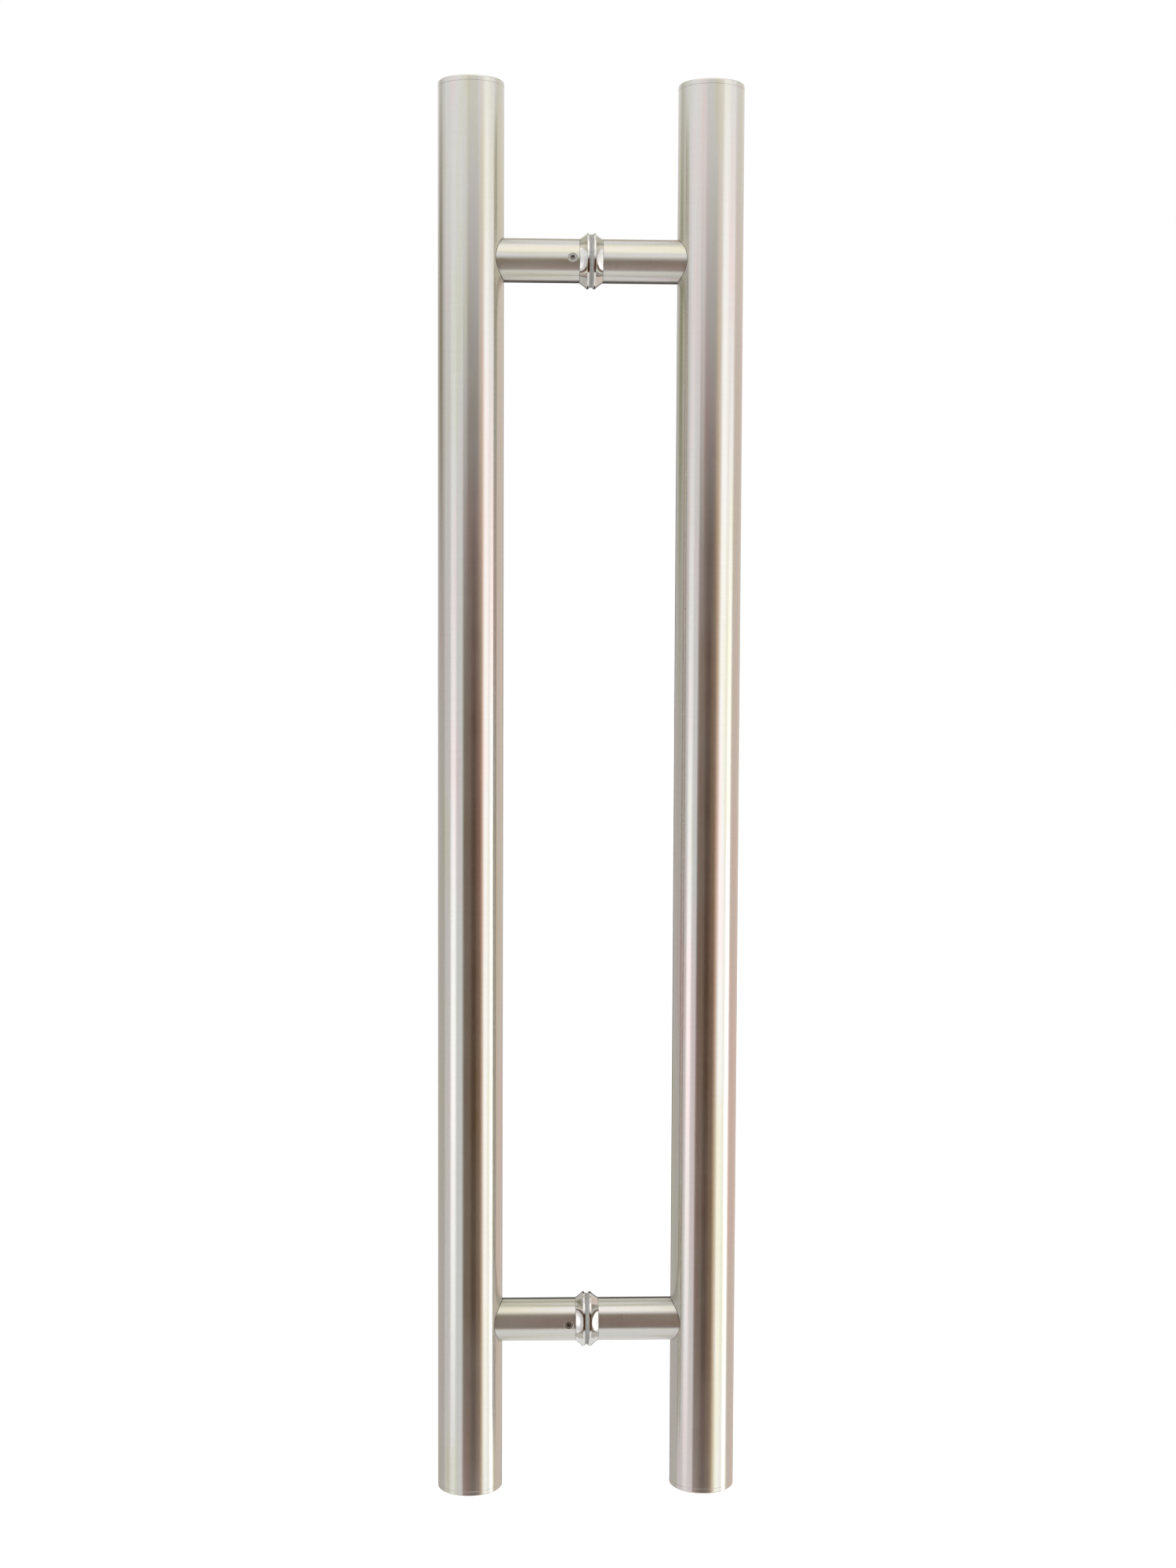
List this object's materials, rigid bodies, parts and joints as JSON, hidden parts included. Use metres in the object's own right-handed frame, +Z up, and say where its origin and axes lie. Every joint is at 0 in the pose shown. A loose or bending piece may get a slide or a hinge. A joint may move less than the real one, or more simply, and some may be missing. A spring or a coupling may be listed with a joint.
{
  "type": "double-sided tubular door pull handle",
  "caption": "Back-to-back tubular pull handle for a glass door: long round grip tubes joined by coped posts with flared collars, gaskets and hidden clamp studs.",
  "frame": {"origin": "middle of the door's mid-plane, halfway between the upper and the lower clamp", "axes": "+Z up along the grip tubes, +X through the door from the left handle, which has the set screws, to the right handle, and the set screws face -Y"},
  "size_m": [0.176, 0.038, 0.82],
  "materials": {
    "satin_steel": "satin brushed stainless steel",
    "polished_steel": "bright polished stainless steel",
    "gasket_grey": "soft grey plastic, matt",
    "plated_steel": "plain zinc plated steel",
    "screw_steel": "plain stainless steel, slightly dark"
  },
  "bodies": {
    "root": {"left_grip_tube": "satin_steel", "left_upper_end_cap": "satin_steel", "left_upper_post": "satin_steel", "left_upper_collar": "polished_steel", "left_upper_gasket": "gasket_grey", "left_lower_end_cap": "satin_steel", "left_lower_post": "satin_steel", "left_lower_collar": "polished_steel", "left_lower_gasket": "gasket_grey", "right_grip_tube": "satin_steel", "right_upper_end_cap": "satin_steel", "right_upper_post": "satin_steel", "right_upper_collar": "polished_steel", "right_upper_gasket": "gasket_grey", "right_lower_end_cap": "satin_steel", "right_lower_post": "satin_steel", "right_lower_collar": "polished_steel", "right_lower_gasket": "gasket_grey", "upper_anchor_hub": "plated_steel", "lower_anchor_hub": "plated_steel", "clamp_studs": "plated_steel", "set_screws": "screw_steel", "post_screws": "plated_steel", "saddle_washers": "plated_steel"}
  },
  "joints": []
}
